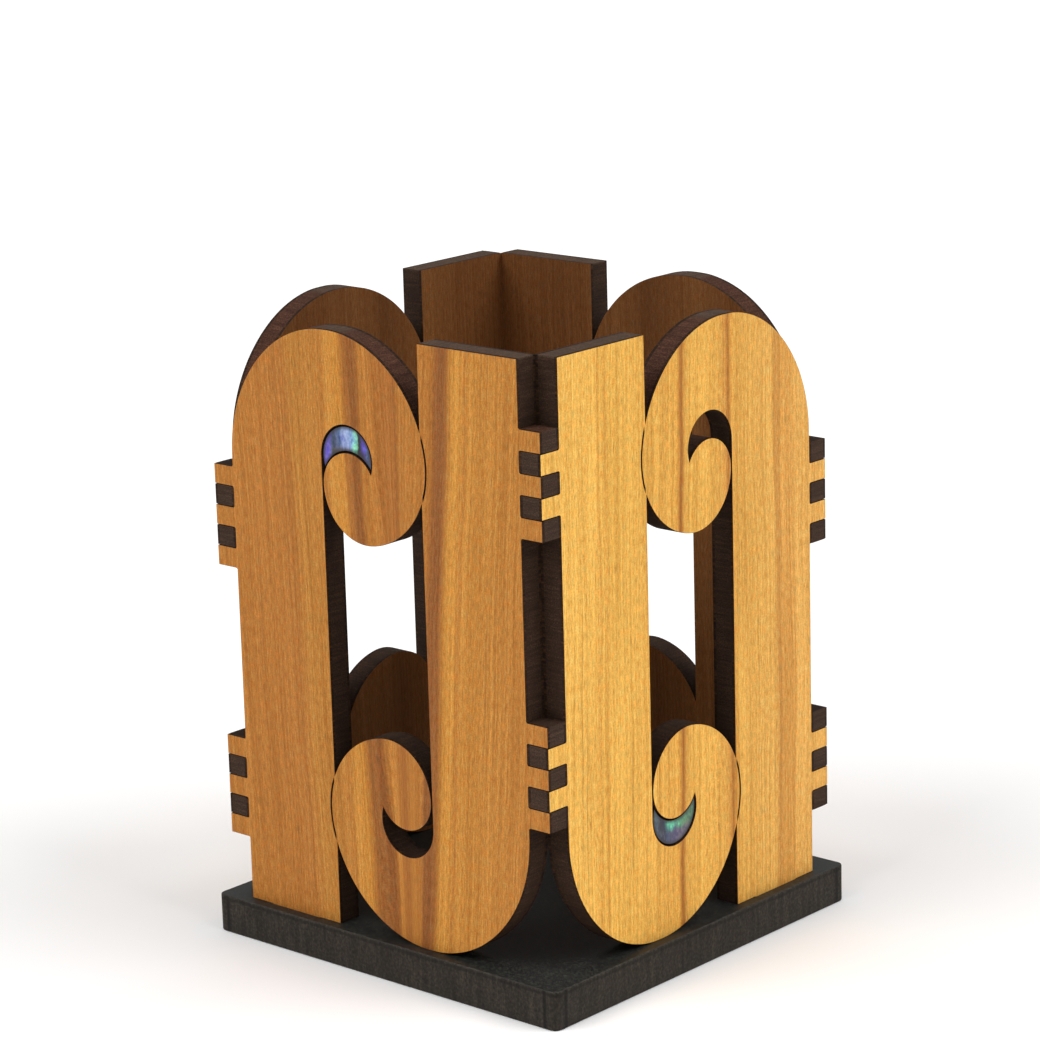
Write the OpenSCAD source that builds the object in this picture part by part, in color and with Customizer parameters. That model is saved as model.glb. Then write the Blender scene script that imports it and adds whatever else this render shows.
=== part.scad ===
// Square desk holder: four fretwork panels, finger-jointed at the corners, standing on a base plate.
// Each panel is a fibreboard core between two wood veneers, with one crescent of shell let into it.
// Origin: centre of the underside of the base plate. +Z up, front panel faces -Y. Millimetres.

/* [Box] */
// Width over the panels, outer face to outer face
box_w = 66; // [60:1:76]
// Height of the panels above the base plate
panel_h = 92.3; // [85:0.1:110]
// Thickness of a panel, veneers included
panel_t = 4; // [3:0.1:5]
// Thickness of each veneer
veneer_t = 0.5; // [0.3:0.1:0.8]

/* [Base plate] */
// Thickness of the base plate
base_t = 6; // [4:0.5:10]
// How far the base plate stands out past the panels
base_lip = 1.9; // [1:0.1:5]
// Radius of the base plate's upright corners
base_corner_r = 1.3; // [0.5:0.1:4]

/* [Fretwork] */
// Width of the two stems of a panel. This and the radii below are for a panel that is 58 mm wide
// between its corner posts, and they grow with it.
stem_width = 19; // [18.5:0.1:19.1]
// Radius of the shoulder that rises from a stem into its spiral
shoulder_radius = 22; // [21.6:0.1:22.4]
// Radius of the arch over the spiral
arch_radius = 19.5; // [19.4:0.05:19.8]
// Radius of the curl that turns down from the arch
curl_radius = 13.05; // [12.95:0.05:13.15]
// Radius of the underside of the bulb
bulb_radius = 8.35; // [8.3:0.05:8.4]
// Radius of the crown of the bulb
crown_radius = 5.2; // [5:0.1:5.4]
// Radius of the outer side of the crescent eye
eye_radius = 5.15; // [5:0.05:5.3]
// Width of the scored line round the curl, where it crosses the other stem
score_w = 0.25; // [0.15:0.05:0.4]

/* [Finger joints] */
// Height of one finger
finger_h = 3.2; // [2.5:0.1:3.3]
// Gap that the cutter leaves between two fingers
kerf = 0.1; // [0.05:0.05:0.3]
// Height of the upper cluster of fingers above the base plate, on the flat-topped side
upper_fingers_z = 66.35; // [60:0.05:68]
// Gap between the foot of a shoulder and the cluster of fingers beside it
finger_rest = 1.8; // [0.5:0.1:4]

/* [Feet] */
// Width of the tenon under each panel's flat foot
tenon_w = 10; // [6:1:14]
// Gap round a tenon in its slot
slot_gap = 0.1; // [0.05:0.05:0.3]

/* [Shell inlay] */
// Thickness of the shell
shell_t = 0.8; // [0.6:0.1:1.2]
// How far the shell lies below the face of the veneer
shell_recess = 0.15; // [0.05:0.05:0.5]
// Gap round the shell in its pocket
shell_gap = 0.25; // [0.05:0.01:0.3]

/* [Hidden] */

fibreboard = [0.27, 0.18, 0.15];
stained_board = [0.21, 0.20, 0.18];
outer_wood = [0.78, 0.56, 0.29];
inner_wood = [0.62, 0.41, 0.20];
shell_blue = [0.45, 0.55, 0.72];

// A panel is drawn in u and v: u runs along it, from its left end as seen from outside, between the
// corner posts that the fingers fill, and v runs up from the top of the base plate.
span = box_w - 2 * panel_t;
drawn_span = 58;
drawn_eye_rise = 4.25;
grow = span / drawn_span;
core_t = panel_t - 2 * veneer_t;
base_w = box_w + 2 * base_lip;
base_clear = 0.3;
tenon_h = base_t - base_clear;
pocket_t = shell_recess + shell_t - veneer_t;
fingers = 5;
cluster_h = fingers * finger_h;
over = 1;

// The spiral is a run of arcs, each tangent to the next. It changes from one to the next at these
// directions from their centres. Its arch stands a little over the panel's height and is trimmed
// flat, so that it meets the base plate on a narrow face when it is turned upside down.
shoulder_to_arch = 125.5;
arch_to_curl = 8;
curl_to_bulb = -82;
bulb_to_crown = 180;
trim = 0.05;
arc_step = 5;
score_bridge = 0.2;
stem_w = grow * stem_width;
shoulder_r = grow * shoulder_radius;
arch_r = grow * arch_radius;
curl_r = grow * curl_radius;
bulb_r = grow * bulb_radius;
crown_r = grow * crown_radius;
eye_r = grow * eye_radius;
eye_rise = grow * drawn_eye_rise;

function turn(a) = [cos(a), sin(a)];
function arc(c, r, from, to) =
    let (n = ceil(abs(to - from) / arc_step))
    [for (i = [0:n]) c + r * turn(from + (to - from) * i / n)];
function half_turn(points) = [for (p = points) [span, panel_h] - p];
function trimmed(points) = [for (p = points) [p[0], min(p[1], panel_h)]];

arch_rise = (shoulder_r - arch_r) * sin(shoulder_to_arch) + arch_r;
shoulder_c = [shoulder_r, panel_h + trim - arch_rise];
arch_c = shoulder_c + (shoulder_r - arch_r) * turn(shoulder_to_arch);
curl_c = arch_c + (arch_r - curl_r) * turn(arch_to_curl);
bulb_c = curl_c + (curl_r - bulb_r) * turn(curl_to_bulb);
crown_c = bulb_c + (bulb_r - crown_r) * turn(bulb_to_crown);
eye_c = [stem_w + eye_r, crown_c[1] + eye_rise];
lower_fingers_z = panel_h - shoulder_c[1] + finger_rest;

// The arch and the curl cross the near edge of the other stem in these directions.
stem_edge = span - stem_w;
arch_cross = acos((stem_edge - arch_c[0]) / arch_r);
curl_cross = -acos((stem_edge - curl_c[0]) / curl_r);
function scored_to(c, r) = acos((stem_edge + score_bridge - c[0]) / r);

// The crown and the eye's circle cross at the crescent's tip.
centres = eye_c - crown_c;
along = (norm(centres) + (crown_r * crown_r - eye_r * eye_r) / norm(centres)) / 2;
lean = atan2(centres[1], centres[0]);
crown_tip = lean - acos(along / crown_r);
eye_tip = lean - 180 + acos((norm(centres) - along) / eye_r);

crown = arc(crown_c, crown_r, bulb_to_crown, crown_tip);
eye = arc(eye_c, eye_r, eye_tip, 180);
// Where an eye is inlaid, the cut between bulb and stem ends at this point of the crown.
tail = 5;

// Up the left side with its fingers. The first row of a cluster is a finger on the front and back
// panels and a gap on the other two.
function fingered_side(first_row) = [
    for (z = [upper_fingers_z, lower_fingers_z], row = [first_row:2:fingers - 1])
        let (
            low = panel_h - z - cluster_h + row * finger_h + kerf / 2,
            high = low + finger_h - kerf
        )
        each [[0, low], [-panel_t, low], [-panel_t, high], [0, high]]
];

// From the left foot over the arch to the top of the other stem
function outer_half(first_row) = concat(
    [[0, 0]],
    fingered_side(first_row),
    arc(shoulder_c, shoulder_r, 180, shoulder_to_arch),
    trimmed(arc(arch_c, arch_r, shoulder_to_arch, arch_cross)),
    [[stem_edge, panel_h]]
);

// Round the curl into the eye and down the stem, to where the other curl crosses it
function inner_half(inlaid) = concat(
    arc(curl_c, curl_r, curl_cross, curl_to_bulb),
    arc(bulb_c, bulb_r, curl_to_bulb, bulb_to_crown - 360),
    inlaid ? [for (i = [0:tail]) crown[i]] : crown,
    inlaid ? [[stem_w, crown[tail][1]]] : eye
);

tenon = let (left = (stem_w - tenon_w) / 2, right = left + tenon_w)
    [[right, 0], [right, -tenon_h], [left, -tenon_h], [left, 0]];

crescent = concat(
    [[stem_w, crown[tail][1]]],
    [for (i = [tail:len(crown) - 1]) crown[i]],
    eye
);

// One whole sheet of a panel, with its upper eye, its lower eye or neither filled in
module sheet_2d(first_row, upper_filled = false, lower_filled = false) {
    difference() {
        polygon(concat(outer_half(first_row), half_turn(outer_half(first_row)), tenon));
        polygon(concat(inner_half(upper_filled), half_turn(inner_half(lower_filled))));
    }
}

// The line that carries the curl on across the other stem. It stops short of the stem's edge at both
// ends, with a bridge of wood between.
module score_2d() {
    inner = -score_w / 2;
    outer = score_w / 2;
    polygon(concat(
        arc(arch_c, arch_r + outer, scored_to(arch_c, arch_r + outer), arch_to_curl),
        arc(curl_c, curl_r + outer, arch_to_curl, -scored_to(curl_c, curl_r + outer)),
        arc(curl_c, curl_r + inner, -scored_to(curl_c, curl_r + inner), arch_to_curl),
        arc(arch_c, arch_r + inner, arch_to_curl, scored_to(arch_c, arch_r + inner))
    ));
}

module shell_2d() {
    difference() {
        translate(eye_c) circle(eye_r - shell_gap, $fn = 96);
        translate(crown_c) circle(crown_r + shell_gap, $fn = 96);
    }
}

module half_turned() {
    translate([span, panel_h])
        rotate(180)
            children();
}

// The front and back panels have the arch on the left and their inlay above. The other two are
// mirrored, so that equal sides meet at each corner, and have their inlay below.
function upright(side) = side % 2 == 0;
function first_row(side) = upright(side) ? 0 : 1;

module at_side(side) {
    rotate(90 * side)
        mirror([upright(side) ? 0 : 1, 0, 0])
            children();
}

// Stands a drawing up on the base plate as a layer of the front panel, "depth" below its face
module layer(depth, thickness) {
    translate([-span / 2, depth + thickness - box_w / 2, base_t])
        rotate([90, 0, 0])
            linear_extrude(thickness)
                children();
}

module at_inlaid_eye(side) {
    if (upright(side)) children();
    else half_turned() children();
}

module core(side) {
    color(fibreboard)
        at_side(side)
            difference() {
                layer(veneer_t, core_t) sheet_2d(first_row(side), upright(side), !upright(side));
                layer(veneer_t - over, pocket_t + over) at_inlaid_eye(side) polygon(crescent);
            }
}

module outer_veneer(side) {
    color(outer_wood)
        at_side(side)
            layer(0, veneer_t)
                difference() {
                    sheet_2d(first_row(side));
                    score_2d();
                    half_turned() score_2d();
                }
}

module inner_veneer(side) {
    color(inner_wood)
        at_side(side)
            layer(panel_t - veneer_t, veneer_t)
                sheet_2d(first_row(side), upright(side), !upright(side));
}

module shell_inlay(side) {
    color(shell_blue)
        at_side(side)
            layer(shell_recess, shell_t)
                at_inlaid_eye(side)
                    shell_2d();
}

module base_plate() {
    corner = base_w / 2 - base_corner_r;
    slot = [tenon_w + 2 * slot_gap, panel_t + 2 * slot_gap, base_t + 2 * over];
    color(stained_board)
        difference() {
            linear_extrude(base_t)
                polygon([
                    for (q = [0:3])
                        each arc(corner * [q == 0 || q == 3 ? 1 : -1, q < 2 ? 1 : -1],
                                 base_corner_r, 90 * q, 90 * q + 90)
                ]);
            for (side = [0:3])
                at_side(side)
                    translate([(stem_w - tenon_w - span) / 2 - slot_gap, -box_w / 2 - slot_gap, -over])
                        cube(slot);
        }
}

base_plate();

core(0);  // front_core
outer_veneer(0);  // front_outer_veneer
inner_veneer(0);  // front_inner_veneer
shell_inlay(0);  // front_shell_inlay

core(1);  // right_core
outer_veneer(1);  // right_outer_veneer
inner_veneer(1);  // right_inner_veneer
shell_inlay(1);  // right_shell_inlay

core(2);  // back_core
outer_veneer(2);  // back_outer_veneer
inner_veneer(2);  // back_inner_veneer
shell_inlay(2);  // back_shell_inlay

core(3);  // left_core
outer_veneer(3);  // left_outer_veneer
inner_veneer(3);  // left_inner_veneer
shell_inlay(3);  // left_shell_inlay
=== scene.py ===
"""Looks for the square fretwork desk holder: laser-cut veneered panels on a stained base plate.

Metres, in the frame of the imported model. Texture sizes are in millimetres, because every panel piece
carries its own drawing coordinates in an attribute: along the panel, up it, and into its thickness.
"""

import math

import bmesh
import bpy
from mathutils import Matrix, Vector


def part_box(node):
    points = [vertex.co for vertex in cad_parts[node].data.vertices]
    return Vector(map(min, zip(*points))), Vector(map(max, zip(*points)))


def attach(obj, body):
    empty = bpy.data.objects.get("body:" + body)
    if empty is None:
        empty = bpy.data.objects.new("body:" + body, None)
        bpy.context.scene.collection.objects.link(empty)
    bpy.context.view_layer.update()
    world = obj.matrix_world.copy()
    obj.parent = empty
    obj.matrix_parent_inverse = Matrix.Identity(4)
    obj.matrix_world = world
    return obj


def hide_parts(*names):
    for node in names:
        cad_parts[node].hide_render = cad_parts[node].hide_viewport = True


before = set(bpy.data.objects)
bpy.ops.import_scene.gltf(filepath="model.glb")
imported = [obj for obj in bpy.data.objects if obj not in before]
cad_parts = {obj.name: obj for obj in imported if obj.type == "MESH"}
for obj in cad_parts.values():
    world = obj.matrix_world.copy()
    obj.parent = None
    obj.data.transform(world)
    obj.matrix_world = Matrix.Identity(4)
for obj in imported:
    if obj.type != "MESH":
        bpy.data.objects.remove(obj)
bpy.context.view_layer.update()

MM = 0.001
SIDES = ("front", "right", "back", "left")

# Sizes are in millimetres. An edge is eased by rounding it that much, with a step at EASE_SHARE.
VENEER_EASE = 0.05
SHELL_EASE = 0.08
BASE_EASE = 0.22
EASE_SHARE = 0.3

# Where a cut turns outward its corner is rounded by CORNER, and where it turns inward, as the beam
# does, by FILLET, but by no more than ROOM_SHARE of the shorter side that meets there. A mitre
# reaches at most LONGEST_MITRE times as far as its inset.
CORNER = 0.09
FILLET = 0.28
ROOM_SHARE = 0.4
CORNER_STEPS = 4
LONGEST_MITRE = 2.5

# A chord that is longer than this is a straight side and not part of an arc
LONGEST_CHORD = 4.0

# Tolerances: the distance between places that count as one, and how squarely a flat face faces out
NEAR = 0.01
FLAT = 0.999

# A board's edge is lighter at the panel's top and at its fingers' ends, partly sanding and partly a
# painted highlight, and the arch's is redder near the panel's top, and lighter with a painted highlight
# where it faces up: each up to the first distance from there, fading out by the second.
SANDED_AND_LIT = 0.1, 0.3
ARCH_REDDER_AND_LIT = 16.0, 20.0

# The dark lines painted on the base plate's sides, near its corners and under its top edge: how far in
# each lies, and half its width
CORNER_DARK_LINE = 2.2, 0.45
TOP_DARK_LINE = 0.55, 0.35

# A shell is dark up to the first of these distances from its outline, and fades to its own colour
# by the second. Its face is cut RIM_CUTS times across to carry that distance.
SHELL_RIM = 0.10, 0.75
RIM_CUTS = 5

# Turns of an outline. An arc's chords turn less than ARC_TURN, and a finger's root turns between
# the other two. A tip turns back more than that. A mesh's edges stay sharp from CREASE up.
ARC_TURN = math.radians(12)
ROOT_TURN = math.radians(40)
TIP_TURN = math.radians(120)
CREASE = math.radians(50)

# How brightly the studio lights an upright face: 1 would show a white one as pure white
LIGHT = 1.08

PANEL = "panel"
WEAR = "wear"
RIM = "rim"


def mm_box(node):
    """A node's lowest and highest corners, in millimetres"""
    lo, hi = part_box(node)
    return lo / MM, hi / MM


BASE_TOP = mm_box("base_plate")[1].z
HALF_W = -mm_box("front_outer_veneer")[0].y
VENEER_T = HALF_W + mm_box("front_outer_veneer")[1].y
PANEL_T = HALF_W + mm_box("front_inner_veneer")[1].y
PANEL_H = mm_box("front_outer_veneer")[1].z - BASE_TOP
SPAN = 2 * (HALF_W - PANEL_T)


# ---------------------------------------------------------------- shape


class Drawing:
    """A flat drawing that faces one way: along and up are its own directions as seen from outside,
    and face is how far out its outer face lies."""

    def __init__(self, along, up, face):
        self.along = along
        self.up = up
        self.outward = along.cross(up)
        self.face = face

    def flipped(self, face):
        """The same drawing seen from behind"""
        return Drawing(-self.along, self.up, face)

    def place(self, point, depth):
        """Where a drawn point lies, depth below the outer face"""
        return point.x * self.along + point.y * self.up + (self.face - depth) * self.outward


def side_drawing(side, face):
    turn = Matrix.Rotation(math.pi / 2 * SIDES.index(side), 3, "Z")
    return Drawing(turn @ Vector((1, 0, 0)), Vector((0, 0, 1)), face)


def outlines(node, drawing):
    """The outlines of a CAD node's outer face, with the material on their left. The faces stay in
    the mesh's own order, so that every run gives the same points first."""
    bm = bmesh.new()
    bm.from_mesh(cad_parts[node].data)
    bm.transform(Matrix.Scale(1 / MM, 4))
    bmesh.ops.remove_doubles(bm, verts=bm.verts, dist=NEAR / 10)
    face = dict.fromkeys(
        f for f in bm.faces
        if f.normal.dot(drawing.outward) > FLAT
        and abs(f.verts[0].co.dot(drawing.outward) - drawing.face) < NEAR
    )
    following = {
        loop.vert: loop.link_loop_next.vert
        for f in face for loop in f.loops
        if sum(other in face for other in loop.edge.link_faces) == 1
    }
    found = []
    while following:
        chain = list(following.popitem())
        while chain[-1] is not chain[0]:
            chain.append(following.pop(chain[-1]))
        points = [Vector((v.co.dot(drawing.along), v.co.dot(drawing.up))) for v in chain[:-1]]
        found.append(smoother(points))
    bm.free()
    return found


def turn_at(outline, i):
    """How far the outline turns at its point i: left is positive"""
    before = outline[i] - outline[i - 1]
    after = outline[(i + 1) % len(outline)] - outline[i]
    return math.atan2(before.cross(after), before.dot(after))


def smoother(outline):
    """The same outline, with one more point on the arc over each short chord"""
    turns = [turn_at(outline, i) for i in range(len(outline))]
    result = []
    for i, start in enumerate(outline):
        end = outline[(i + 1) % len(outline)]
        chord = end - start
        bends = turns[i], turns[(i + 1) % len(outline)]
        result.append(start)
        if chord.length < LONGEST_CHORD and max(map(abs, bends)) < ARC_TURN and bends[0] * bends[1] > 0:
            rise = math.tan(sum(bends) / 8) / 2
            result.append((start + end) / 2 + rise * Vector((chord.y, -chord.x)))
    return result


def ring(outline, inset):
    """The outline moved into its material by inset, with its corners rounded"""
    points = []
    for i, point in enumerate(outline):
        before = point - outline[i - 1]
        after = outline[(i + 1) % len(outline)] - point
        turn = turn_at(outline, i)
        shortest = min(before.length, after.length)
        side = Vector((-before.y, before.x)).normalized()
        mitre = side + Vector((-after.y, after.x)).normalized()
        mitre *= 1 / max(1 + math.cos(turn), 2 / LONGEST_MITRE ** 2)
        if turn > ROOT_TURN:
            radius = min(CORNER, ROOM_SHARE * shortest)
            centre = point + max(inset, radius) * mitre
            reach = min(inset - radius, 0.0)
        elif -TIP_TURN < turn < -ROOT_TURN:
            radius = min(FILLET, ROOM_SHARE * shortest)
            centre = point - radius * mitre
            reach = radius + inset
        else:
            points.append(point + inset * mitre)
            continue
        for step in range(CORNER_STEPS + 1):
            spin = Matrix.Rotation(turn * step / CORNER_STEPS, 2)
            points.append(centre + reach * (spin @ side))
    return points


def wall(bm, drawing, outline, profile):
    """Raises a wall along an outline, through (inset, depth) steps, and returns its rings"""
    rings = [
        [bm.verts.new(drawing.place(point, depth)) for point in ring(outline, inset)]
        for inset, depth in profile
    ]
    for low, high in zip(rings, rings[1:]):
        for i in range(len(low)):
            bm.faces.new((low[i - 1], low[i], high[i], high[i - 1]))
    return rings


def cap(bm, rings, material=0):
    """Fills the flat face that the rings bound"""
    edges = [bm.edges.get((r[i - 1], r[i])) for r in rings for i in range(len(r))]
    filled = bmesh.ops.triangle_fill(bm, edges=edges, use_beauty=True, use_dissolve=False)
    for item in filled["geom"]:
        if isinstance(item, bmesh.types.BMFace):
            item.material_index = material
            item.smooth = False


def slab(drawing, drawn, profile):
    """A sheet with those outlines and that edge. Its outer face has material 0, and the rest of it
    has material 1."""
    bm = bmesh.new()
    walls = [wall(bm, drawing, outline, profile) for outline in drawn]
    for f in bm.faces:
        f.material_index = 1
        f.smooth = True
    cap(bm, [rings[0] for rings in walls], material=1)
    cap(bm, [rings[-1] for rings in walls])
    return bm


def eased(width, thickness):
    """The profile of an edge that is rounded at its outer face"""
    soft = EASE_SHARE * width
    return (0.0, thickness), (0.0, width), (soft, soft), (width, 0.0)


def to_piece(bm, name, node, materials):
    """Turns a mesh in millimetres into a piece that rides on the body and stands for its CAD node"""
    bmesh.ops.recalc_face_normals(bm, faces=bm.faces)
    bm.transform(Matrix.Scale(MM, 4))
    for e in bm.edges:
        e.smooth = e.calc_face_angle() < CREASE
    mesh = bpy.data.meshes.new(name)
    bm.to_mesh(mesh)
    bm.free()
    for material in materials:
        mesh.materials.append(material)
    piece = bpy.data.objects.new(name, mesh)
    bpy.context.scene.collection.objects.link(piece)
    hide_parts(node)
    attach(piece, "root")
    return piece


def add_panel_coordinates(piece, side):
    """Millimetres along the panel from its left post, up from the base, and in from its outer face"""
    drawing = side_drawing(side, HALF_W)
    layer = piece.data.attributes.new(PANEL, "FLOAT_VECTOR", "POINT")
    for vertex, entry in zip(piece.data.vertices, layer.data):
        co = vertex.co / MM
        entry.vector = (
            co.dot(drawing.along) + SPAN / 2,
            co.z - BASE_TOP,
            HALF_W - co.dot(drawing.outward),
        )


def outer_veneer(side, wood, burnt):
    node = side + "_outer_veneer"
    drawing = side_drawing(side, HALF_W)
    bm = slab(drawing, outlines(node, drawing), eased(VENEER_EASE, VENEER_T))
    piece = to_piece(bm, node + "_sheet", node, (wood, burnt))
    add_panel_coordinates(piece, side)


def inner_veneer(side, wood, burnt):
    """Its edge stays square, so that the panels' inner corners meet with no gap."""
    node = side + "_inner_veneer"
    drawing = side_drawing(side, HALF_W).flipped(PANEL_T - HALF_W)
    bm = slab(drawing, outlines(node, drawing), ((0.0, VENEER_T), (0.0, 0.0)))
    piece = to_piece(bm, node + "_sheet", node, (wood, burnt))
    add_panel_coordinates(piece, side)


def core(side, board):
    """The board between the veneers, with the blind pocket that the shell is let into"""
    node = side + "_core"
    outward = side_drawing(side, 0).outward
    bm = bmesh.new()
    bm.from_mesh(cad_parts[node].data)
    bm.transform(Matrix.Scale(1 / MM, 4))
    bmesh.ops.remove_doubles(bm, verts=bm.verts, dist=NEAR / 10)
    for f in bm.faces:
        f.smooth = abs(f.normal.dot(outward)) < FLAT
    piece = to_piece(bm, node + "_board", node, (board,))
    add_panel_coordinates(piece, side)


def mark_rim(bm, edge):
    """Divides the shell's face and gives each of its points the distance to the nearest of the edge's"""
    face = {f for f in bm.faces if f.material_index == 0}
    across = [e for e in bm.edges if len(e.link_faces) == 2 and face.issuperset(e.link_faces)]
    bmesh.ops.subdivide_edges(bm, edges=across, cuts=RIM_CUTS)
    rim = bm.verts.layers.float.new(RIM)
    for v in bm.verts:
        v[rim] = min((v.co - point).length for point in edge)


def shell_inlay(side, shell, filler):
    """A slice of shell, whose edge is dark with the filler round it"""
    node = side + "_shell_inlay"
    outward = side_drawing(side, 0).outward
    lo, hi = mm_box(node)
    reach = lo.dot(outward), hi.dot(outward)
    drawing = side_drawing(side, max(reach))
    drawn = outlines(node, drawing)
    bm = slab(drawing, drawn, eased(SHELL_EASE, max(reach) - min(reach)))
    mark_rim(bm, [drawing.place(point, 0.0) for outline in drawn for point in outline])
    piece = to_piece(bm, node + "_slice", node, (shell, filler))
    add_panel_coordinates(piece, side)


def base_plate(board):
    """The stained plate, with rubbed edges. The slots for the panels' tenons go right through it."""
    thickness = BASE_TOP
    drawing = Drawing(Vector((1, 0, 0)), Vector((0, 1, 0)), BASE_TOP)
    bm = bmesh.new()
    wear = bm.verts.layers.float.new(WEAR)
    soft = EASE_SHARE * BASE_EASE
    rounded = (
        (BASE_EASE, thickness), (soft, thickness - soft), (0.0, thickness - BASE_EASE),
        (0.0, BASE_EASE), (soft, soft), (BASE_EASE, 0.0),
    )
    drawn = sorted(outlines("base_plate", drawing), key=lambda outline: max(p.length for p in outline))
    edge = wall(bm, drawing, drawn.pop(), rounded)
    for worn in (edge[1], edge[-2]):
        for v in worn:
            v[wear] = 1.0
    walls = [edge] + [wall(bm, drawing, slot, ((0.0, thickness), (0.0, 0.0))) for slot in drawn]
    for f in bm.faces:
        f.smooth = True
    cap(bm, [rings[0] for rings in walls])
    cap(bm, [rings[-1] for rings in walls])
    to_piece(bm, "base_plate_board", "base_plate", (board,))


# ---------------------------------------------------------------- materials


class Shader:
    """A material and the few kinds of node that the materials below are made from."""

    def __init__(self, name, **fixed):
        self.material = bpy.data.materials.new(name)
        self.material.use_nodes = True
        self.tree = self.material.node_tree
        self.surface = self.tree.nodes["Principled BSDF"]
        for socket, value in fixed.items():
            self.surface.inputs[socket.replace("_", " ")].default_value = value

    def put(self, socket, value):
        if isinstance(value, bpy.types.NodeSocket):
            self.tree.links.new(value, socket)
        else:
            socket.default_value = value

    def set(self, **values):
        for socket, value in values.items():
            self.put(self.surface.inputs[socket.replace("_", " ")], value)
        return self.material

    def add(self, kind, *inputs, **settings):
        node = self.tree.nodes.new("ShaderNode" + kind)
        for name, value in settings.items():
            setattr(node, name, value)
        for socket, value in zip(node.inputs, inputs):
            self.put(socket, value)
        return node

    def attribute(self, name):
        return self.add("Attribute", attribute_name=name)

    def place(self):
        """Millimetres along, up and into a panel"""
        return self.attribute(PANEL).outputs["Vector"]

    def split(self, vector):
        return self.add("SeparateXYZ", vector).outputs

    def join(self, x, y, z):
        return self.add("CombineXYZ", x, y, z).outputs[0]

    def math(self, operation, *values):
        return self.add("Math", *values, operation=operation).outputs[0]

    def sum(self, first, *others):
        for value in others:
            first = self.math("ADD", first, value)
        return first

    def product(self, first, *others):
        for value in others:
            first = self.math("MULTIPLY", first, value)
        return first

    def invert(self, value):
        return self.math("SUBTRACT", 1.0, value)

    def shift(self, vector, offset):
        return self.add("VectorMath", vector, offset, operation="ADD").outputs[0]

    def noise(self, vector, fineness, detail=3.0, roughness=0.6):
        """Noise with so many features per millimetre along each axis"""
        stretched = self.add("VectorMath", vector, fineness, operation="MULTIPLY").outputs[0]
        node = self.add("TexNoise")
        self.put(node.inputs["Vector"], stretched)
        node.inputs["Scale"].default_value = 1.0
        node.inputs["Detail"].default_value = detail
        node.inputs["Roughness"].default_value = roughness
        return node.outputs["Fac"]

    def remap(self, value, lo, hi, to_lo=0.0, to_hi=1.0, smooth=False):
        kind = "SMOOTHSTEP" if smooth else "LINEAR"
        node = self.add("MapRange", value, lo, hi, to_lo, to_hi, interpolation_type=kind)
        return node.outputs[0]

    def ramp(self, value, stops):
        """A colour ramp whose stops are (value, colour), in rising order"""
        lo, hi = stops[0][0], stops[-1][0]
        node = self.add("ValToRGB", self.remap(value, lo, hi))
        elements = node.color_ramp.elements
        while len(elements) < len(stops):
            elements.new(1.0)
        for element, (stop, colour) in zip(elements, stops):
            element.position = (stop - lo) / (hi - lo)
            element.color = (*colour, 1.0)
        return node.outputs[0]

    def three(self, value, dark, middle, light):
        """A ramp of three colours over the middle of a noise's range"""
        return self.ramp(value, ((0.34, dark), (0.50, middle), (0.66, light)))

    def mix(self, factor, a, b, blend="MIX"):
        node = self.add("Mix", data_type="RGBA", blend_type=blend)
        self.put(node.inputs[0], factor)
        for socket, colour in ((node.inputs[6], a), (node.inputs[7], b)):
            self.put(socket, (*colour, 1.0) if isinstance(colour, tuple) else colour)
        return node.outputs[2]

    def tint(self, colour, value, low, high):
        """Multiplies the colour by one that runs from low to high with a noise"""
        return self.mix(1.0, colour, self.ramp(value, ((0.28, low), (0.72, high))), "MULTIPLY")

    def bump(self, height, distance):
        node = self.add("Bump")
        node.inputs["Distance"].default_value = distance
        self.put(node.inputs["Height"], height)
        return node.outputs["Normal"]


def srgb(r, g, b):
    """The linear colour that a shader takes to look so, 0 to 255, when the studio light falls on it"""
    def linear(c):
        c /= 255
        return c / 12.92 if c <= 0.04045 else ((c + 0.055) / 1.055) ** 2.4
    return linear(r) / LIGHT, linear(g) / LIGHT, linear(b) / LIGHT


SOOT = srgb(24, 17, 14)

# The layers of a veneer's grain. Each has features per millimetre across it and along it, with a
# factor on the veneer's seed that sets the layer apart, and the tints of its darkest and lightest
# parts.
GRAIN = (
    ((0.45, 0.010, 1.0), (0.91, 0.88, 0.83), (1.07, 1.10, 1.14)),
    ((1.90, 0.022, 1.0), (0.80, 0.74, 0.64), (1.17, 1.22, 1.30)),
    ((3.60, 0.700, 1.0), (0.76, 0.71, 0.58), (1.20, 1.24, 1.34)),
    ((2.20, 0.700, 9.0), (1.09, 0.91, 0.68), (0.94, 1.09, 1.22)),
    ((5.00, 4.000, 1.0), (0.80, 0.76, 0.66), (1.16, 1.19, 1.28)),
)


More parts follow.
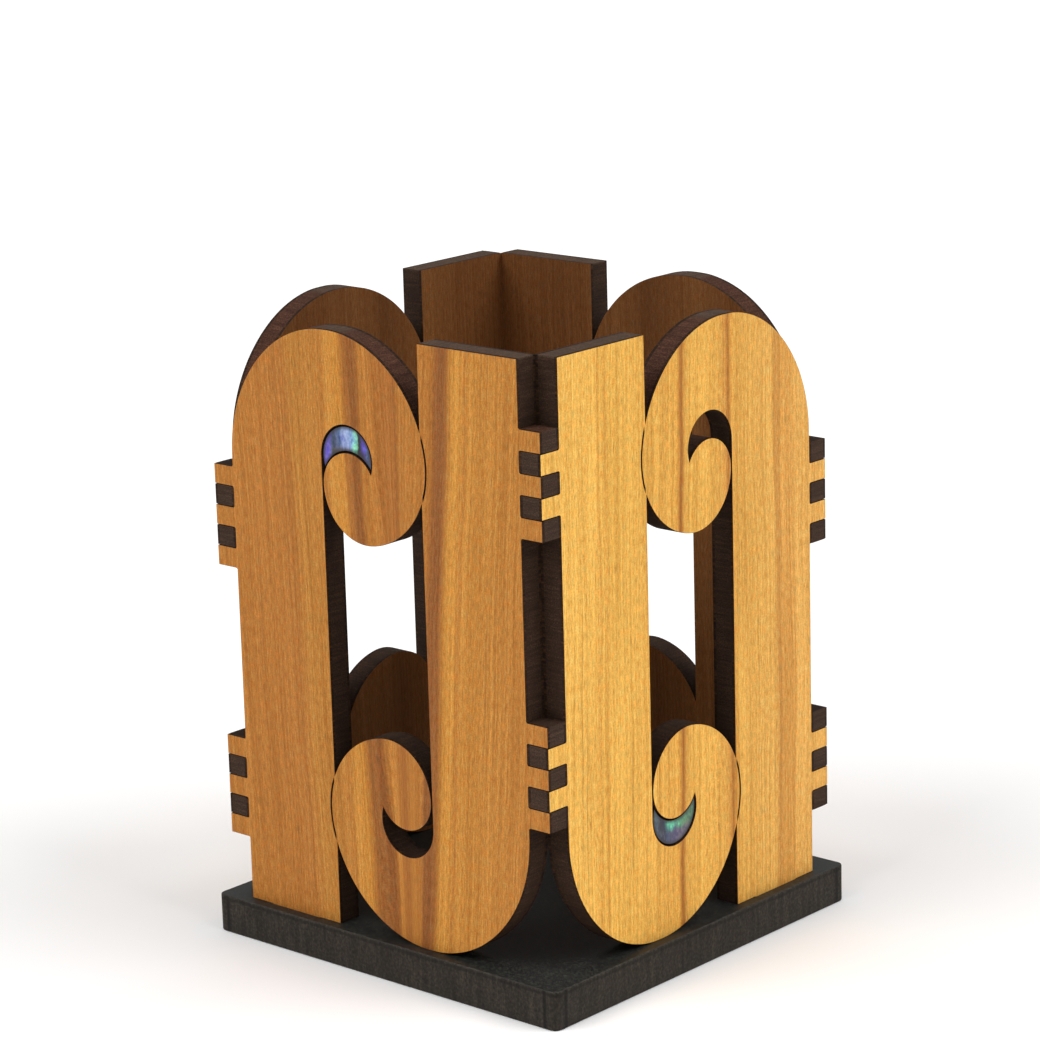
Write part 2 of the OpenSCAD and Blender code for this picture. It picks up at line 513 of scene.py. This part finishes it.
def veneer_material(name, bands, leans, seed):
    """Straight-grained veneer. bands are (millimetres along, colour) at the top of the panel. leans
    are (millimetres along, how far the grain leans there, in millimetres along for each one down)."""
    s = Shader(name, Specular_IOR_Level=0.10)
    place = s.place()
    along, up, _ = s.split(place)
    seeded = s.shift(place, (seed * 71.3, seed * 37.9, 0.0))

    lean = leans[0][1]
    for (start, before), (end, after) in zip(leans, leans[1:]):
        lean = s.sum(lean, s.remap(along, start, end, 0.0, after - before, smooth=True))
    waver = s.remap(s.noise(seeded, (0.05, 0.025, 0.0), 2.0), 0.3, 0.7, -0.4, 0.4)
    across = s.sum(along, s.product(s.math("SUBTRACT", PANEL_H, up), lean), waver)
    colour = s.ramp(across, bands)

    grain = s.join(across, up, seed * 5.0)
    for fineness, dark, light in GRAIN:
        colour = s.tint(colour, s.noise(grain, fineness), dark, light)
    pores = s.remap(s.noise(grain, (4.5, 0.33, 3.0), 2.0), 0.58, 0.76, 0.0, 0.55, smooth=True)
    lines = s.remap(s.noise(grain, (2.4, 0.014, 7.0), 1.0), 0.66, 0.74, 0.0, 0.35, smooth=True)
    colour = s.mix(s.math("MAXIMUM", pores, lines), colour, srgb(112, 74, 40))

    fibres = s.noise(grain, (8.0, 0.3, 1.0), 2.0)
    return s.set(
        Base_Color=colour,
        Roughness=s.remap(fibres, 0.3, 0.7, 0.45, 0.62),
        Normal=s.bump(s.math("SUBTRACT", fibres, pores), 0.02 * MM),
    )


def burnt_veneer_material():
    """The cut edge of a veneer, browner than the fibreboard and with the grain still in it"""
    s = Shader("burnt_veneer_edge", Specular_IOR_Level=0.08)
    place = s.place()
    grain = s.noise(place, (3.0, 3.0, 0.4))
    patches = s.noise(place, (0.35, 0.35, 0.2), 2.0)
    colour = s.ramp(grain, ((0.30, SOOT), (0.55, srgb(56, 38, 26)), (0.80, srgb(98, 66, 42))))
    colour = s.mix(s.remap(patches, 0.4, 0.7, 0.0, 0.5), colour, SOOT)
    return s.set(
        Base_Color=colour,
        Roughness=s.remap(grain, 0.3, 0.7, 0.60, 0.80),
        Normal=s.bump(grain, 0.01 * MM),
    )


def fibreboard_material():
    """Laser-cut fibreboard edge: charred, mottled, with faint cut marks straight through it. It is redder
    over the arch, with a painted highlight where the arch faces up, and lighter along the panel's top and
    at the fingers' ends, partly sanding and partly a painted highlight."""
    s = Shader("charred_fibreboard", Specular_IOR_Level=0.08)
    place = s.place()
    along, up, _ = s.split(place)
    out = s.math("ABSOLUTE", s.math("SUBTRACT", along, SPAN / 2))
    down = s.math("SUBTRACT", PANEL_H, up)
    # The panel's top edge and the fingers' ends are painted lighter: partly sanding, partly a painted
    # highlight where light falls on them.
    sanded_and_lit_ends = s.remap(s.math("SUBTRACT", HALF_W, out), *SANDED_AND_LIT, 0.35, 0.0)
    sanded_and_lit = s.math("MAXIMUM", sanded_and_lit_ends, s.remap(down, *SANDED_AND_LIT, 1.0, 0.0))
    marks = s.noise(place, (2.6, 2.6, 0.15))
    fibre = s.noise(place, (5.0, 5.0, 4.0), 4.0, 0.7)
    patches = s.noise(place, (0.25, 0.25, 0.40))
    mottle = s.sum(s.product(marks, 0.3), s.product(fibre, 0.7))
    charred = s.three(mottle, srgb(34, 23, 16), srgb(55, 39, 30), srgb(80, 60, 46))
    charred = s.mix(s.remap(patches, 0.40, 0.70, 0.0, 0.45), charred, srgb(42, 28, 21))
    # Walls of the arch that face up near the panel's top get a redder char, also lighter as a painted
    # highlight where light falls from above.
    upward = s.split(s.add("NewGeometry").outputs["Normal"])[2]
    arch = s.product(s.remap(upward, 0.1, 0.5), s.remap(down, *ARCH_REDDER_AND_LIT, 1.0, 0.0))
    charred = s.mix(arch, charred, s.three(mottle, srgb(42, 24, 18), srgb(70, 44, 34), srgb(104, 72, 54)))
    # The lighter colour of those places: sanding and painted highlight together.
    rubbed = s.three(mottle, srgb(50, 36, 28), srgb(74, 57, 46), srgb(100, 80, 65))
    colour = s.mix(sanded_and_lit, charred, rubbed)
    return s.set(
        Base_Color=colour,
        Roughness=s.remap(fibre, 0.3, 0.7, 0.65, 0.85),
        Normal=s.bump(mottle, 0.04 * MM),
    )


def base_material():
    """Fibreboard stained charcoal, with rubbed edges and cut streaks down its sides"""
    s = Shader("charcoal_stained_board")
    metres = s.add("TexCoord").outputs["Object"]
    place = s.add("VectorMath", metres, (1 / MM,) * 3, operation="MULTIPLY").outputs[0]
    x, y, z = s.split(place)
    top = s.remap(s.split(s.add("NewGeometry").outputs["Normal"])[2], 0.6, 0.9)

    fibre = s.noise(place, (2.6, 2.6, 2.6), 4.0, 0.75)
    clouds = s.noise(place, (0.09, 0.09, 0.09))
    streaks = s.sum(
        s.product(s.noise(place, (1.5, 1.5, 0.15), 4.0), 0.4),
        s.product(s.noise(place, (2.6, 2.6, 2.2), 4.0), 0.6),
    )
    top_colour = s.three(fibre, srgb(6, 6, 5), srgb(18, 19, 16), srgb(62, 64, 56))
    side_colour = s.ramp(
        streaks, ((0.34, srgb(26, 22, 18)), (0.50, srgb(48, 42, 35)), (0.68, srgb(72, 64, 54)))
    )
    colour = s.mix(top, side_colour, top_colour)
    colour = s.mix(s.remap(clouds, 0.35, 0.7, 0.0, 0.35), colour, srgb(18, 17, 14))

    def mark(value, end, inset, half_width):
        off = s.math("ABSOLUTE", s.math("SUBTRACT", s.math("ABSOLUTE", value), end - inset))
        return s.remap(off, 0.4 * half_width, half_width, 1.0, 0.0)

    corner = mm_box("base_plate")[1]
    marks = s.math("MAXIMUM", mark(x, corner.x, *CORNER_DARK_LINE), mark(y, corner.y, *CORNER_DARK_LINE))
    marks = s.math("MAXIMUM", marks, s.product(mark(z, corner.z, *TOP_DARK_LINE), 0.6))
    colour = s.mix(s.product(marks, s.invert(top), 0.8), colour, srgb(12, 10, 8))

    rubbed = s.product(s.attribute(WEAR).outputs["Fac"], s.remap(fibre, 0.5, 0.7, 0.0, 0.3))
    colour = s.mix(rubbed, colour, srgb(112, 106, 94))
    return s.set(
        Base_Color=colour,
        Specular_IOR_Level=s.remap(top, 0.0, 1.0, 0.15, 0.55),
        Roughness=s.remap(fibre, 0.3, 0.7, 0.50, 0.65),
        Normal=s.bump(s.mix(top, streaks, fibre), 0.015 * MM),
    )


def shell_material(name, washes, meeting, seed):
    """Paua shell: soft washes of colour that run across it, one into the next, and are cut by its dark
    growth lines. washes are (millimetres along, colour above, colour below), and meeting is the two
    heights between which the colour below turns into the one above."""
    s = Shader(name, Specular_IOR_Level=0.25, Coat_Weight=0.15, Coat_Roughness=0.05)
    place = s.place()
    along, up, _ = s.split(place)
    seeded = s.shift(place, (seed * 11.7, seed * 5.3, 0.0))
    waver = s.noise(seeded, (0.6, 0.4, 0.3))
    across = s.sum(along, s.remap(waver, 0.3, 0.7, -0.35, 0.35))
    upper = s.ramp(across, [(stop, above) for stop, above, _ in washes])
    lower = s.ramp(across, [(stop, below) for stop, _, below in washes])
    height = s.sum(up, s.remap(waver, 0.3, 0.7, 0.5, -0.5))
    colour = s.mix(s.remap(height, *meeting, smooth=True), lower, upper)

    sheen = s.noise(seeded, (1.1, 0.9, 1.0))
    colour = s.tint(colour, sheen, (0.55, 0.58, 0.90), (1.30, 1.35, 1.15))
    layers = s.noise(seeded, (2.4, 1.4, 1.0))
    colour = s.tint(colour, layers, (0.62, 0.64, 0.70), (1.32, 1.30, 1.26))
    rim = s.remap(s.attribute(RIM).outputs["Fac"], *SHELL_RIM, 0.80, 0.0, smooth=True)
    colour = s.mix(rim, colour, srgb(34, 34, 40))
    return s.set(
        Base_Color=colour,
        Roughness=s.remap(layers, 0.3, 0.7, 0.14, 0.30),
        Normal=s.bump(sheen, 0.02 * MM),
    )


# The veneer of each panel: where its bands of grain lie along the top, left to right from outside. The
# front's bands are darker and the right's lighter than the wood's own tone: partly a real difference in
# tone, partly painted shade on the front and painted light on the right.
FRONT_GRAIN_AND_SHADE_BANDS = (
    (-6, srgb(186, 124, 57)), (7, srgb(181, 118, 54)), (11, srgb(181, 119, 56)),
    (13.2, srgb(190, 131, 60)), (17, srgb(186, 126, 57)), (19.5, srgb(187, 125, 57)),
    (20.4, srgb(201, 140, 64)), (22.6, srgb(203, 140, 61)), (23.3, srgb(190, 128, 57)),
    (24.0, srgb(167, 107, 50)), (24.8, srgb(150, 94, 45)), (26.0, srgb(148, 92, 46)),
    (26.5, srgb(165, 106, 50)), (27.1, srgb(186, 124, 56)), (28.5, srgb(187, 124, 57)),
    (29.6, srgb(177, 115, 53)), (31.2, srgb(171, 109, 51)), (33.4, srgb(174, 111, 53)),
    (34.1, srgb(154, 96, 47)), (34.7, srgb(180, 119, 56)), (38, srgb(184, 122, 56)),
    (41.8, srgb(180, 118, 54)), (42.6, srgb(152, 95, 48)), (43.6, srgb(144, 90, 47)),
    (44.8, srgb(154, 97, 49)), (45.5, srgb(190, 130, 59)), (46.6, srgb(207, 146, 66)),
    (48.0, srgb(202, 140, 63)), (48.5, srgb(186, 124, 57)), (49.2, srgb(198, 137, 62)),
    (57, srgb(190, 129, 59)), (66, srgb(184, 122, 57)),
)
RIGHT_GRAIN_AND_LIT_BANDS = (
    (-6, srgb(239, 186, 92)), (7, srgb(241, 187, 92)), (8.2, srgb(234, 178, 85)),
    (8.7, srgb(215, 156, 71)), (9.2, srgb(238, 184, 88)), (10.2, srgb(221, 163, 75)),
    (10.8, srgb(240, 186, 90)), (14, srgb(234, 180, 86)), (24, srgb(226, 169, 80)),
    (26.2, srgb(232, 174, 82)), (27.0, srgb(214, 152, 68)), (27.35, srgb(168, 108, 48)),
    (27.8, srgb(168, 108, 48)), (28.1, srgb(206, 148, 68)), (29.0, srgb(222, 168, 80)),
    (30, srgb(232, 177, 85)), (34, srgb(234, 178, 86)), (36.6, srgb(222, 166, 80)),
    (37.7, srgb(204, 142, 66)), (38.0, srgb(182, 122, 55)), (38.4, srgb(186, 126, 57)),
    (38.9, srgb(216, 155, 70)), (40, srgb(226, 171, 83)), (46, srgb(226, 171, 86)),
    (48.4, srgb(235, 181, 95)), (49.3, srgb(225, 169, 87)), (49.8, srgb(198, 140, 69)),
    (50.4, srgb(207, 149, 75)), (50.9, srgb(217, 158, 79)), (53.5, srgb(218, 159, 80)),
    (54.6, srgb(229, 173, 91)), (66, srgb(231, 176, 92)),
)
BACK_BANDS = (
    (-6, srgb(206, 150, 74)), (8, srgb(212, 156, 79)), (13, srgb(186, 126, 62)),
    (15, srgb(210, 154, 77)), (24, srgb(204, 147, 73)), (29, srgb(176, 117, 58)),
    (30, srgb(206, 150, 75)), (44, srgb(212, 156, 79)), (46.6, srgb(184, 125, 62)),
    (47.2, srgb(208, 151, 76)), (66, srgb(202, 145, 72)),
)
LEFT_BANDS = (
    (-6, srgb(214, 160, 81)), (7, srgb(208, 152, 77)), (9, srgb(180, 123, 62)),
    (9.8, srgb(210, 156, 79)), (22, srgb(216, 162, 84)), (29, srgb(206, 150, 76)),
    (38, srgb(188, 131, 66)), (39, srgb(212, 158, 81)), (53, srgb(204, 148, 75)),
    (66, srgb(212, 157, 80)),
)
# The inner veneer's bands are dark: partly a darker tone of its own, partly painted shade, as if the
# inside of the holder lay in shade.
INNER_GRAIN_AND_SHADE_BANDS = (
    (-6, srgb(124, 80, 45)), (10, srgb(117, 74, 41)), (18, srgb(132, 86, 48)),
    (27, srgb(108, 68, 38)), (33, srgb(126, 82, 46)), (45, srgb(114, 72, 40)),
    (66, srgb(123, 79, 44)),
)

# The colours of the two kinds of shell: where they lie along the panel, above and below
FRONT_SHELL = (
    (18.8, srgb(70, 56, 130), srgb(60, 50, 110)), (19.8, srgb(84, 72, 160), srgb(106, 86, 185)),
    (20.7, srgb(92, 80, 165), srgb(118, 104, 205)), (21.1, srgb(60, 78, 96), srgb(96, 96, 130)),
    (21.5, srgb(62, 74, 94), srgb(66, 68, 66)), (22.1, srgb(88, 98, 132), srgb(84, 74, 70)),
    (22.7, srgb(64, 90, 130), srgb(112, 98, 92)), (23.3, srgb(140, 152, 196), srgb(118, 104, 98)),
    (24.6, srgb(146, 162, 206), srgb(116, 110, 112)), (25.3, srgb(140, 184, 206), srgb(124, 160, 150)),
    (25.8, srgb(148, 232, 190), srgb(130, 214, 170)), (26.2, srgb(130, 205, 160), srgb(104, 165, 126)),
    (26.45, srgb(30, 36, 26), srgb(34, 34, 28)), (26.8, srgb(34, 30, 34), srgb(36, 32, 36)),
    (27.3, srgb(88, 70, 170), srgb(54, 44, 66)), (27.8, srgb(94, 82, 190), srgb(70, 58, 120)),
    (28.4, srgb(84, 120, 146), srgb(74, 88, 120)), (29.2, srgb(84, 78, 118), srgb(80, 74, 110)),
)
RIGHT_SHELL = (
    (19.2, srgb(74, 90, 98), srgb(74, 88, 94)), (20.4, srgb(72, 86, 94), srgb(78, 90, 98)),
    (21.1, srgb(46, 44, 54), srgb(66, 70, 82)), (21.9, srgb(44, 48, 64), srgb(56, 56, 74)),
    (22.5, srgb(64, 126, 112), srgb(72, 86, 108)), (23.2, srgb(108, 210, 164), srgb(72, 70, 96)),
    (24.3, srgb(104, 198, 152), srgb(84, 76, 104)), (25.4, srgb(88, 150, 108), srgb(104, 92, 108)),
    (27.0, srgb(90, 130, 92), srgb(102, 96, 100)), (28.4, srgb(84, 122, 86), srgb(80, 90, 80)),
    (29.4, srgb(70, 96, 74), srgb(58, 64, 58)),
)


def build_panels():
    board = fibreboard_material()
    burnt = burnt_veneer_material()
    # The inner veneer's colours carry painted shade.
    inner = veneer_material("inner_veneer_wood_and_shade", INNER_GRAIN_AND_SHADE_BANDS, ((20, 0.0), (50, 0.02)), 9)
    front_leans = (27.0, -0.036), (31.5, -0.060), (36.5, 0.073)
    upper_eye, lower_eye = (74.2, 75.6), (15.9, 17.3)
    looks = {
        "front": (FRONT_GRAIN_AND_SHADE_BANDS, front_leans, FRONT_SHELL, upper_eye),
        "right": (RIGHT_GRAIN_AND_LIT_BANDS, ((29, 0.018), (38, 0.0)), RIGHT_SHELL, lower_eye),
        "back": (BACK_BANDS, ((20, 0.02), (50, -0.03)), FRONT_SHELL, upper_eye),
        "left": (LEFT_BANDS, ((20, 0.04), (50, 0.03)), RIGHT_SHELL, lower_eye),
    }
    for seed, side in enumerate(SIDES):
        bands, leans, washes, meeting = looks[side]
        wood = veneer_material(side + "_veneer_wood", bands, leans, seed + 1)
        shell = shell_material(side + "_paua", washes, meeting, seed + 1)
        core(side, board)
        outer_veneer(side, wood, burnt)
        inner_veneer(side, inner, burnt)
        shell_inlay(side, shell, burnt)


# ---------------------------------------------------------------- room and camera


def floor():
    """A wide pale floor, just under the base"""
    reach = 6.0
    drop = 0.05 * MM
    bm = bmesh.new()
    bmesh.ops.create_grid(bm, x_segments=1, y_segments=1, size=reach)
    mesh = bpy.data.meshes.new("floor")
    bm.to_mesh(mesh)
    bm.free()
    ground = bpy.data.objects.new("floor", mesh)
    ground.location.z = -drop
    bpy.context.scene.collection.objects.link(ground)
    s = Shader("floor_paper", Base_Color=(0.97, 0.97, 0.97, 1.0), Roughness=0.9, Specular_IOR_Level=0.1)
    mesh.materials.append(s.material)


def soft_light(name, azimuth, elevation, strength, spread):
    """A wide, far light. Azimuth 0 is in front of the object and 90 at its right, in degrees."""
    data = bpy.data.lights.new(name, "SUN")
    data.energy = strength
    data.angle = math.radians(spread)
    lamp = bpy.data.objects.new(name, data)
    turned = Matrix.Rotation(math.radians(azimuth), 4, "Z")
    lamp.matrix_world = turned @ Matrix.Rotation(math.radians(90 - elevation), 4, "X")
    bpy.context.scene.collection.objects.link(lamp)


def studio():
    world = bpy.data.worlds.new("studio")
    world.use_nodes = True
    sky = world.node_tree.nodes["Background"]
    sky.inputs["Color"].default_value = (1.0, 1.0, 1.0, 1.0)
    sky.inputs["Strength"].default_value = 0.48
    bpy.context.scene.world = world
    soft_light("left", -20, 46, 1.58, 40)
    soft_light("right", 110, 46, 1.64, 40)


def camera():
    """The camera looks at the front right corner from a little above, through a long lens. It is
    moved sideways and up, across its own view, so that the object lies low in the picture."""
    azimuth = math.radians(41.77)
    elevation = math.radians(14.24)
    roll = math.radians(-1.60)
    distance = 0.566
    aside = -0.94 * MM
    above = 17.84 * MM
    target = Vector((0, 0, 0.0456))
    back = Vector((
        math.sin(azimuth) * math.cos(elevation),
        -math.cos(azimuth) * math.cos(elevation),
        math.sin(elevation),
    ))
    level = Vector((math.cos(azimuth), math.sin(azimuth), 0))
    upright = back.cross(level)
    right = math.cos(roll) * level + math.sin(roll) * upright
    up = -math.sin(roll) * level + math.cos(roll) * upright
    eye = target + distance * back + aside * right + above * up
    data = bpy.data.cameras.new("camera")
    data.lens = 126.9
    data.sensor_width = 36.0
    view = bpy.data.objects.new("camera", data)
    view.matrix_world = Matrix.Translation(eye) @ Matrix((right, up, back)).transposed().to_4x4()
    bpy.context.scene.collection.objects.link(view)
    bpy.context.scene.camera = view
    bpy.context.scene.view_settings.view_transform = "Standard"


camera()
studio()
floor()
base_plate(base_material())
build_panels()
